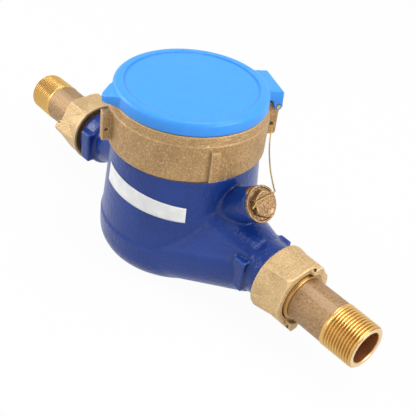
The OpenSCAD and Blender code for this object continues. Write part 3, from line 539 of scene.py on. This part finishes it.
dial_shape = bmesh.new()
dial_level = hinge_turn @ Matrix.Translation((0, 0, dial_top + ink_lift))
for mark in range(marks):
    mark_angle = 2 * math.pi * mark / marks
    mark_turn = dial_level @ Matrix.Rotation(-mark_angle, 4, "Z")
    if mark % marks_a_figure == 0:
        add_strip(dial_shape, -long_mark_w / 2, long_mark_in_r, long_mark_w / 2, mark_out_r, mark_turn)
        upright = Matrix.Translation((0, figure_r, 0)) @ Matrix.Rotation(mark_angle, 4, "Z")
        add_figure(dial_shape, str(mark // marks_a_figure), figure_h, mark_turn @ upright)
    else:
        add_strip(dial_shape, -mark_w / 2, mark_in_r, mark_w / 2, mark_out_r, mark_turn)
frame_left, frame_right = window_left - 2 * window_line, window_right + 2 * window_line
frame_low, frame_high = window_low - 2 * window_line, window_high + 2 * window_line
for low in (frame_low, frame_high - window_line):
    add_strip(dial_shape, frame_left, low, frame_right, low + window_line, dial_level)
side_low, side_high = frame_low + window_line, frame_high - window_line
for left in (frame_left, frame_right - window_line):
    add_strip(dial_shape, left, side_low, left + window_line, side_high, dial_level)
print_piece("dial_print", dial_shape, "case", black_ink)
dress(["dial_plate", "dial_spacer"], white_acetal)
red_acetal = mottled(
    "red_acetal", (0.55, 0.03, 0.02, 1), (0.46, 0.025, 0.018, 1), fineness=900, rough=0.35, metal=0
)
dress(["flow_star", "sweep_hand"], red_acetal)
clear_glass, glass_tree, glass_shader = new_finish("clear_glass")
glass_grain = use_group(glass_tree, sand_grain, Fineness=300.0)
glass_tint = blend_colour(glass_tree, glass_grain["Patches"], glass_clear, glass_green)
glass_tree.links.new(glass_tint, glass_shader.inputs["Base Color"])
glass_shader.inputs["Roughness"].default_value = 0.02
glass_shader.inputs["Transmission Weight"].default_value = 1.0
glass_shader.inputs["IOR"].default_value = 1.45
dress(["glass"], clear_glass)

# Head ring
# A shot-blasted brass casting, screwed on the neck to hold the register down, with ribs for a strap wrench,
# a tab lug, and a hinge lug that is drilled for a turned pin and for the seal wire.
ring_tan = (0.45, 0.275, 0.118, 1)
ring_light = (0.70, 0.485, 0.245, 1)
ring_brown = (0.20, 0.11, 0.042, 1)
ring_foot_brown = (0.24, 0.10, 0.025, 1)
ring_foot = 75.6 * mm
foot_full, foot_end, foot_share = 0.5 * mm, 1.3 * mm, 0.8
grain_floor, grain_middle, grain_crest = 0.05, 0.5, 0.95
pits_dark, crests_light = 0.45, 0.5
patches_from, patches_dark = 0.3, 0.25
specks_light, hollows_dark, edges_light = 0.7, 0.8, 0.6
cast_gloss_drift = 0.18


def blasted_brass(name, plain, light, dark, fineness, gloss, metal):
    """Cast brass after shot blasting: dull, grainy, paler on its edges and browner in its hollows."""
    finish, tree, shader = new_finish(name)
    grain = use_group(tree, sand_grain, Fineness=fineness)
    wear = use_group(tree, edge_wear, Reach=0.04)
    pits = remap(tree, grain["Grain"], grain_floor, grain_middle, to_low=pits_dark, to_high=0.0)
    crests = remap(tree, grain["Grain"], grain_middle, grain_crest, to_high=crests_light)
    patches = remap(tree, grain["Patches"], patches_from, 1.0, to_high=patches_dark)
    colour = blend_colour(tree, pits, plain, dark)
    colour = blend_colour(tree, crests, colour, light)
    colour = blend_colour(tree, patches, colour, dark)
    colour = blend_colour(tree, calc(tree, "MULTIPLY", grain["Specks"], specks_light), colour, light)
    colour = blend_colour(tree, calc(tree, "MULTIPLY", wear["Hollows"], hollows_dark), colour, dark)
    colour = blend_colour(tree, calc(tree, "MULTIPLY", wear["Edges"], edges_light), colour, light)
    tree.links.new(colour, shader.inputs["Base Color"])
    rough = remap(tree, grain["Grain"], 0, 1, gloss, gloss + cast_gloss_drift)
    tree.links.new(rough, shader.inputs["Roughness"])
    shader.inputs["Metallic"].default_value = metal
    grain_bump(tree, shader, grain["Grain"], strength=0.5, depth=0.4 * mm)
    return finish


def paint_over(finish, share, colour):
    """Lays one more colour over what a finish has, by a share that changes over the surface."""
    tree = finish.node_tree
    base = tree.nodes["Principled BSDF"].inputs["Base Color"]
    tree.links.new(blend_colour(tree, share, base.links[0].from_socket, colour), base)


head_brass = blasted_brass(
    "head_ring_brass", ring_tan, ring_light, ring_brown, fineness=900, gloss=0.42, metal=0.4
)
head_tree = head_brass.node_tree
head_z = part_place(head_tree)["Z"]
foot = remap(head_tree, head_z, ring_foot + foot_full, ring_foot + foot_end, to_low=foot_share, to_high=0.0)
paint_over(head_brass, foot, ring_foot_brown)
ring_skin = copy_of("head_ring", "head_ring_skin")
even_skin(ring_skin, voxel=0.45 * mm)
round_off(ring_skin, rounds=2)
thin_out(ring_skin, keep=0.5)
stand_for(ring_skin, "head_ring", "case", head_brass)
dress(["hinge_pin"], turned_brass)

# Lid
# A sky-blue moulded cap with a shallow disc on top, a lifting tab, and a hinge block that turns on the pin.
# Its skin is softened as a moulding's is, and the disc's edge is then cut crisp again.
# Painted shade darkens a thin line round the disc's edge, and the side towards its lower rim.
lid_blue = (0.041, 0.305, 0.86, 1)
lid_blue_worn = (0.046, 0.315, 0.87, 1)
lid_shade_blue = (0.022, 0.19, 0.66, 1)
lid_top = 112.5 * mm
disc_r = 38.5 * mm
disc_depth = 0.55 * mm
disc_wall = 0.36 * mm
disc_band = 2.5 * mm
line_core, line_end, step_shade_share = 0.2 * mm, 0.7 * mm, 0.75
top_skin, top_fade = 0.8 * mm, 1.2 * mm
side_start, side_full, side_shade_share = 2.5 * mm, 7.5 * mm, 0.45
lid_rough_low, lid_rough_high = 0.36, 0.42


def axis_distance(tree, first, second):
    """Distance from an axis, from the two directions across it."""
    squares = [calc(tree, "MULTIPLY", direction, direction) for direction in (first, second)]
    return calc(tree, "SQRT", calc(tree, "ADD", squares[0], squares[1]))


def cut_disc(piece):
    """Gives the lid's shallow disc its crisp edge again, on two rings of points."""
    for point in piece.data.vertices:
        out = math.hypot(point.co.x, point.co.y)
        if abs(point.co.z - lid_top) > 2 * disc_depth or out > disc_r + disc_band:
            continue
        side = 1 if out > disc_r else -1
        point.co.z = lid_top if side > 0 else lid_top - disc_depth
        if abs(out - disc_r) < disc_wall:
            ring = (disc_r + side * disc_wall / 2) / out
            point.co.x *= ring
            point.co.y *= ring


moulding, moulding_tree, moulding_shader = new_finish("sky_blue_moulding")
moulding_grain = use_group(moulding_tree, sand_grain, Fineness=2600.0)
moulding_colour = blend_colour(moulding_tree, moulding_grain["Patches"], lid_blue, lid_blue_worn)
lid_place = part_place(moulding_tree)
lid_z = lid_place["Z"]
lid_out = axis_distance(moulding_tree, lid_place["X"], lid_place["Y"])
# Painted shade: a thin darker line on the top round the disc's edge, where its step lies in shade.
off_edge = calc(moulding_tree, "ABSOLUTE", calc(moulding_tree, "SUBTRACT", lid_out, disc_r))
on_top = remap(moulding_tree, lid_z, lid_top - top_fade, lid_top - top_skin)
painted_step_shade = remap(moulding_tree, off_edge, line_core, line_end, to_low=step_shade_share, to_high=0.0)
painted_step_shade = calc(moulding_tree, "MULTIPLY", painted_step_shade, on_top)
moulding_colour = blend_colour(moulding_tree, painted_step_shade, moulding_colour, lid_shade_blue)
# Painted shade: the lid's side grows darker towards its lower rim.
painted_side_shade = remap(moulding_tree, lid_z, lid_top - side_full, lid_top - side_start, side_shade_share, 0.0)
moulding_colour = blend_colour(moulding_tree, painted_side_shade, moulding_colour, lid_shade_blue)
moulding_tree.links.new(moulding_colour, moulding_shader.inputs["Base Color"])
moulding_rough = remap(moulding_tree, moulding_grain["Grain"], 0, 1, lid_rough_low, lid_rough_high)
moulding_tree.links.new(moulding_rough, moulding_shader.inputs["Roughness"])
moulding_shader.inputs["Specular IOR Level"].default_value = 0.4
grain_bump(moulding_tree, moulding_shader, moulding_grain["Grain"], strength=0.03, depth=0.2 * mm)
lid_skin = copy_of("lid", "lid_skin")
even_skin(lid_skin, voxel=0.45 * mm)
round_off(lid_skin, rounds=4)
cut_disc(lid_skin)
thin_out(lid_skin, keep=0.4)
stand_for(lid_skin, "lid", "lid", moulding)

# Tailpieces
# Brass tubes with a flange inside the nut, a turned bead at its mouth and a cut taper pipe thread at the end.
# The plain length keeps its blasted skin, with a pale painted highlight along its top. A rubber washer seals
# each flange.
tail_start = 97 * mm
tail_length = 57.25 * mm
flange_r, flange_t = 15.6 * mm, 4 * mm
bead_r, bead_end, bead_round = 14.7 * mm, 12.5 * mm, 1.1 * mm
bead_steps = 6
tube_r, bore_r = 12.95 * mm, 9.5 * mm
bore_chamfer = 0.5 * mm
tube_fillet = 0.3 * mm
thread_start = 36.35 * mm
inch, threads_an_inch = 25.4 * mm, 14
thread_pitch = inch / threads_an_inch
thread_depth = 1.0 * mm
thread_r, thread_taper = 13.35 * mm, 0.25 * mm
thread_flat = 0.12
thread_runout = 0.12
thread_chamfer = 1.3 * mm
chamfer_fall = 1.2 * mm
around = 128
rows_a_turn = 10
sharp_bend = math.radians(35)


def tail_stations():
    """Places along a tailpiece and their radius, out along the outside and back along the bore."""
    rows = [(0.0, bore_r), (0.0, flange_r), (flange_t, flange_r), (flange_t, bead_r)]
    for step in range(bead_steps + 1):
        angle = math.pi / 2 * (1 - step / bead_steps)
        bead_x = bead_end - bead_round + bead_round * math.cos(angle)
        rows.append((bead_x, bead_r - bead_round + bead_round * math.sin(angle)))
    rows += [(bead_end, tube_r), (bead_end + tube_fillet, tube_r), (thread_start - tube_fillet, tube_r)]
    count = int((tail_length - thread_start) / thread_pitch * rows_a_turn)
    for step in range(count + 1):
        rows.append((thread_start + (tail_length - thread_start) * step / count, None))
    rows += [(tail_length, bore_r + bore_chamfer), (tail_length - bore_chamfer, bore_r), (0.0, bore_r)]
    return rows


def thread_radius(along, turn):
    """Radius of the helical thread at a place along the tailpiece and a share of a turn around it."""
    share = (along - thread_start) / (tail_length - thread_start)
    wave = abs(2 * ((along / thread_pitch - turn) % 1.0) - 1)
    wave = min(max((wave - thread_flat) / (1 - 2 * thread_flat), 0.0), 1.0)
    cut = thread_depth * wave * min(share / thread_runout, 1.0)
    end_cone = thread_r - chamfer_fall * (1 - max(tail_length - along, 0) / thread_chamfer)
    return min(thread_r - thread_taper * share - cut, end_cone)


def tail_skin(name, side):
    """A tailpiece as rings of points round the pipe axis; side is 1 at the inlet and -1 at the outlet."""
    rows = tail_stations()
    points = []
    for along, radius in rows:
        for k in range(around):
            turn = k / around
            r = thread_radius(along, turn) if radius is None else radius
            angle = side * turn * 2 * math.pi
            out, up = r * math.cos(angle), r * math.sin(angle)
            points.append((side * (tail_start + along), out, pipe_axis_z + up))
    faces = []
    for i in range(len(rows) - 1):
        for k in range(around):
            a, b = i * around + k, i * around + (k + 1) % around
            faces.append((a, b, b + around, a + around))
    mesh = bpy.data.meshes.new(name)
    mesh.from_pydata(points, [], faces)
    shape = bmesh.new()
    shape.from_mesh(mesh)
    bmesh.ops.remove_doubles(shape, verts=shape.verts, dist=weld_gap)
    bmesh.ops.recalc_face_normals(shape, faces=shape.faces)
    shape.to_mesh(mesh)
    shape.free()
    mesh.shade_smooth()
    mesh.set_sharp_from_angle(angle=sharp_bend)
    piece = bpy.data.objects.new(name, mesh)
    scene.collection.objects.link(piece)
    return piece


tube_tan = (0.37, 0.222, 0.103, 1)
tube_light = (0.48, 0.315, 0.175, 1)
tube_brown = (0.22, 0.12, 0.05, 1)
painted_highlight_pale = (0.50, 0.34, 0.20, 1)
thread_gold = (0.74, 0.47, 0.16, 1)
thread_root = (0.55, 0.31, 0.08, 1)
bead_gold = (0.42, 0.25, 0.085, 1)
end_brass = (0.80, 0.60, 0.34, 1)
bore_brown = (0.62, 0.31, 0.14, 1)
strip_middle, strip_half = math.radians(111), math.radians(15)
strip_edge, highlight_strip_share = 0.6, 0.6
tube_pits_low, tube_crests_high = 0.1, 0.9
tube_grain_share = 0.6
tube_rough, turned_rough = 0.52, 0.34
tube_metal, turned_metal = 0.4, 0.85
tail_brass, tail_tree, tail_shader = new_finish("tailpiece_brass")
tail_xyz = part_place(tail_tree)
tail_x = calc(tail_tree, "ABSOLUTE", tail_xyz["X"])
tail_up = calc(tail_tree, "SUBTRACT", tail_xyz["Z"], pipe_axis_z)
tail_turn = calc(tail_tree, "ARCTAN2", tail_up, tail_xyz["Y"])
tail_radius = axis_distance(tail_tree, tail_up, tail_xyz["Y"])
tail_grain = use_group(tail_tree, sand_grain, Fineness=900.0)
# Painted highlight: a pale strip along the upper side of the plain tube, where light from above falls on it.
strip_off = calc(tail_tree, "ABSOLUTE", calc(tail_tree, "SUBTRACT", tail_turn, strip_middle))
strip = remap(tail_tree, strip_off, strip_half, strip_half * strip_edge, to_high=highlight_strip_share)
tube_pits = remap(tail_tree, tail_grain["Grain"], grain_middle, tube_pits_low, to_high=tube_grain_share)
tube_crests = remap(tail_tree, tail_grain["Grain"], grain_middle, tube_crests_high, to_high=tube_grain_share)
tube_colour = blend_colour(tail_tree, tube_pits, tube_tan, tube_brown)
tube_colour = blend_colour(tail_tree, tube_crests, tube_colour, tube_light)
tube_colour = blend_colour(tail_tree, strip, tube_colour, painted_highlight_pale)
crest = remap(tail_tree, tail_radius, thread_r - thread_depth, thread_r - thread_taper)
thread_colour = blend_colour(tail_tree, crest, thread_root, thread_gold)
in_thread = calc(tail_tree, "GREATER_THAN", tail_x, tail_start + thread_start - tube_fillet)
on_bead = calc(tail_tree, "LESS_THAN", tail_x, tail_start + bead_end + tube_fillet / 2)
at_end = calc(tail_tree, "GREATER_THAN", tail_x, tail_start + tail_length - tube_fillet / 2)
in_bore = calc(tail_tree, "LESS_THAN", tail_radius, bore_r + bore_chamfer / 2)
tail_colour = blend_colour(tail_tree, in_thread, tube_colour, thread_colour)
tail_colour = blend_colour(tail_tree, on_bead, tail_colour, bead_gold)
tail_colour = blend_colour(tail_tree, at_end, tail_colour, end_brass)
tail_colour = blend_colour(tail_tree, in_bore, tail_colour, bore_brown)
tail_tree.links.new(tail_colour, tail_shader.inputs["Base Color"])
turned = calc(tail_tree, "MAXIMUM", calc(tail_tree, "MAXIMUM", in_thread, on_bead), in_bore)
tail_rough = remap(tail_tree, turned, 0, 1, tube_rough, turned_rough)
tail_tree.links.new(tail_rough, tail_shader.inputs["Roughness"])
tail_metal = remap(tail_tree, turned, 0, 1, tube_metal, turned_metal)
tail_tree.links.new(tail_metal, tail_shader.inputs["Metallic"])
tube_share = calc(tail_tree, "SUBTRACT", 1.0, turned)
tube_height = calc(tail_tree, "MULTIPLY", tail_grain["Grain"], tube_share)
grain_bump(tail_tree, tail_shader, tube_height, strength=0.4, depth=0.3 * mm)
for end, side in (("inlet", 1), ("outlet", -1)):
    tailpiece = tail_skin(end + "_tailpiece_skin", side)
    stand_for(tailpiece, end + "_tailpiece", "case", tail_brass)
dress(["inlet_union_washer", "outlet_union_washer"], black_rubber)

# Union nuts
# Cast brass hex nuts that pull the tailpieces to the body, each with two wire ears at opposite corners.
# The flats run out towards the body, where the nut ends in a round rim, with painted shade in its mouth.
nut_tan = (0.62, 0.425, 0.205, 1)
nut_light = (0.77, 0.57, 0.33, 1)
nut_brown = (0.38, 0.245, 0.105, 1)
nut_start, nut_bore_r = 87.7 * mm, 16.7 * mm
nut_flat_r, nut_corner_r = 18.75 * mm, 21.65 * mm
nut_chamfer_r, nut_chamfer_slope = 19.25 * mm, 1.167
nut_rim_r = 20.7 * mm
nut_runout = 12 * mm
sixth = math.pi / 3
mouth_painted_shade = (0.03, 0.018, 0.010, 1)
mouth_r, mouth_end = 19.4 * mm, 95 * mm
mouth_fade, mouth_shade_share = 0.6 * mm, 0.9


def run_out_flats(piece):
    """Lets a nut's flats run out into a round rim at the end towards the body."""
    places = []
    for point in piece.data.vertices:
        up = point.co.z - pipe_axis_z
        places.append((abs(point.co.x) - nut_start, math.hypot(point.co.y, up), math.atan2(up, point.co.y)))
    middle = [place for place in places if nut_runout / 3 < place[0] < nut_runout / 2]
    corner = max(middle, key=lambda place: place[1])[2]
    for point, (along, out, angle) in zip(piece.data.vertices, places):
        share = min(max(along / nut_runout, 0.0), 1.0)
        hex_r = nut_flat_r / math.cos((angle - corner) % sixth - sixth / 2)
        was_r = min(hex_r, nut_chamfer_r + nut_chamfer_slope * max(along, 0.0))
        rim_r = nut_rim_r + (nut_flat_r - nut_rim_r) * share
        cone_r = nut_rim_r + (nut_corner_r - nut_rim_r) * share
        new_r = min(max(hex_r, rim_r), cone_r)
        if share < 1 and out > nut_bore_r:
            grown = (nut_bore_r + (out - nut_bore_r) * (new_r - nut_bore_r) / (was_r - nut_bore_r)) / out
            point.co.y *= grown
            point.co.z = pipe_axis_z + (point.co.z - pipe_axis_z) * grown


nut_brass = blasted_brass(
    "union_nut_brass", nut_tan, nut_light, nut_brown, fineness=850, gloss=0.42, metal=0.4
)
nut_tree = nut_brass.node_tree
nut_place = part_place(nut_tree)
nut_rise = calc(nut_tree, "SUBTRACT", nut_place["Z"], pipe_axis_z)
nut_out = axis_distance(nut_tree, nut_place["Y"], nut_rise)
nut_along = calc(nut_tree, "ABSOLUTE", nut_place["X"])
# Painted shade: the inside of the nut's mouth is darkened, where the recess lies in shadow.
painted_mouth_shade = remap(nut_tree, nut_out, mouth_r - mouth_fade, mouth_r, to_low=mouth_shade_share, to_high=0.0)
painted_mouth_shade = calc(nut_tree, "MULTIPLY", painted_mouth_shade, calc(nut_tree, "LESS_THAN", nut_along, mouth_end))
paint_over(nut_brass, painted_mouth_shade, mouth_painted_shade)
for end in ("inlet", "outlet"):
    nut_skin = copy_of(end + "_union_nut", end + "_union_nut_skin")
    even_skin(nut_skin, voxel=0.45 * mm)
    run_out_flats(nut_skin)
    round_off(nut_skin, rounds=4)
    thin_out(nut_skin, keep=0.5)
    stand_for(nut_skin, end + "_union_nut", "case", nut_brass)

# Regulator plug
# A brass hex plug with a flange, screwed into the boss over the regulating screw, on a rubber washer.
# It has gone brown in its hollows, and it is drilled across for the seal wire.
plug_gold = (0.30, 0.172, 0.075, 1)
plug_light = (0.62, 0.42, 0.24, 1)
plug_brown = (0.07, 0.032, 0.013, 1)
plug_brass = blasted_brass(
    "plug_brass", plug_gold, plug_light, plug_brown, fineness=900, gloss=0.26, metal=0.7
)
plug_skin = copy_of("regulator_plug", "regulator_plug_skin")
even_skin(plug_skin, voxel=0.2 * mm)
round_off(plug_skin, rounds=3)
thin_out(plug_skin, keep=0.5)
stand_for(plug_skin, "regulator_plug", "case", plug_brass)
dress(["regulator_screw"], turned_brass)
dress(["plug_washer"], black_rubber)

# Seal wire
# Two thin brass wires twisted together, from the hinge lug over the plug's end into the hole across its hex.
# The route is in millimetres and follows the photograph; each strand winds round it as a thin tube.
wire_route = [
    (21.7, 43.8, 87.2), (27.7, 41.3, 87.2), (29, 40.6, 86.9), (33, 36, 85.5), (37.1, 31.6, 84.1),
    (41.4, 27.4, 82.7), (45.9, 23.4, 81.3), (50.5, 19.6, 80), (55.3, 15.9, 78.7), (60.3, 12.5, 77.4),
    (65.4, 9.2, 76.1), (67.4, 8.2, 75.5), (68.2, 6.2, 75.6), (68.5, 4, 75.3), (68.6, -0.6, 75.2),
    (68.9, -6.6, 74.5), (69.2, -8, 73.5), (69.1, -8.9, 72.2), (68.7, -8.9, 71.1), (68.4, -8.1, 70.7),
    (68.4, -7.2, 70.6), (68.4, -3, 70.6),
]
wire_path = [Vector(point) * mm for point in wire_route]
strand_r = 0.26 * mm
strand_offset = 0.24 * mm
strand_sides = 8
twist_length = 3.2 * mm
step_length = 0.3 * mm


def even_steps(path, step):
    """Points at even steps along a smooth curve through the path's points."""
    points = []
    for i in range(len(path) - 1):
        before, here = path[max(i - 1, 0)], path[i]
        after, beyond = path[i + 1], path[min(i + 2, len(path) - 1)]
        count = max(2, round((after - here).length / step))
        for k in range(count):
            t = k / count
            square = (2 * before - 5 * here + 4 * after - beyond) * t ** 2
            cube = (3 * here - before - 3 * after + beyond) * t ** 3
            points.append(0.5 * (2 * here + (after - before) * t + square + cube))
    points.append(path[-1])
    return points


wire_line = even_steps(wire_path, step_length)
wire_points = []
wire_faces = []
rings = len(wire_line)
for strand in (0, 1):
    gone = 0.0
    side = Vector((0, 0, 1))
    first = len(wire_points)
    for i, here in enumerate(wire_line):
        ahead = (wire_line[min(i + 1, rings - 1)] - wire_line[max(i - 1, 0)]).normalized()
        side = (side - ahead * side.dot(ahead)).normalized()
        other = ahead.cross(side)
        twist = 2 * math.pi * gone / twist_length + strand * math.pi
        middle = here + (side * math.cos(twist) + other * math.sin(twist)) * strand_offset
        for k in range(strand_sides):
            angle = 2 * math.pi * k / strand_sides
            wire_points.append(middle + (side * math.cos(angle) + other * math.sin(angle)) * strand_r)
        if i + 1 < rings:
            gone += (wire_line[i + 1] - here).length
    for i in range(rings - 1):
        for k in range(strand_sides):
            a, b = first + i * strand_sides + k, first + i * strand_sides + (k + 1) % strand_sides
            wire_faces.append((a, b, b + strand_sides, a + strand_sides))
    wire_faces.append(tuple(first + k for k in reversed(range(strand_sides))))
    wire_faces.append(tuple(first + (rings - 1) * strand_sides + k for k in range(strand_sides)))
wire_mesh = bpy.data.meshes.new("seal_wire_pair")
wire_mesh.from_pydata(wire_points, [], wire_faces)
wire_mesh.shade_smooth()
seal_wire_pair = bpy.data.objects.new("seal_wire_pair", wire_mesh)
scene.collection.objects.link(seal_wire_pair)
wire_gold = (0.72, 0.53, 0.17, 1)
wire_dark = (0.30, 0.19, 0.05, 1)
wire_brass = mottled("seal_wire_brass", wire_gold, wire_dark, fineness=800, rough=0.3, metal=0.8)
stand_for(seal_wire_pair, "seal_wire", "case", wire_brass)

# Label
# A blank paper sticker, put on the drum by hand and so not quite level.
# It is a thin strip that follows the drum's taper.
label_start, label_end = math.radians(-111), math.radians(-37)
label_start_z = (52.5 * mm, 64.5 * mm)
label_end_z = (48.0 * mm, 57.6 * mm)
label_columns, label_rows = 48, 8
label_lift = 0.1 * mm
label_t = 0.12 * mm
drum_low_z, drum_low_r = 26.4 * mm, 47.9 * mm
drum_fall, drum_rise = 3.7 * mm, 48.2 * mm
drum_slope = drum_fall / drum_rise


def drum_radius(z):
    """Radius of the drum's tapered wall at a height."""
    return drum_low_r - (z - drum_low_z) * drum_slope


label_points = []
for column in range(label_columns + 1):
    along = column / label_columns
    angle = label_start + (label_end - label_start) * along
    low = label_start_z[0] + (label_end_z[0] - label_start_z[0]) * along
    high = label_start_z[1] + (label_end_z[1] - label_start_z[1]) * along
    for row in range(label_rows + 1):
        z = low + (high - low) * row / label_rows
        r = drum_radius(z) + label_lift
        label_points.append((r * math.cos(angle), r * math.sin(angle), z))
label_faces = []
for column in range(label_columns):
    for row in range(label_rows):
        corner = column * (label_rows + 1) + row
        label_faces.append((corner, corner + label_rows + 1, corner + label_rows + 2, corner + 1))
label_mesh = bpy.data.meshes.new("paper_label")
label_mesh.from_pydata(label_points, [], label_faces)
label_mesh.shade_smooth()
paper_label = bpy.data.objects.new("paper_label", label_mesh)
scene.collection.objects.link(paper_label)
label_depth = paper_label.modifiers.new("thickness", "SOLIDIFY")
label_depth.thickness = label_t
label_depth.offset = 1.0
label_paper = mottled(
    "label_paper", (0.86, 0.86, 0.84, 1), (0.74, 0.75, 0.75, 1), fineness=2000, rough=0.4, metal=0
)
label_mesh.materials.append(label_paper)
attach(paper_label, "case")
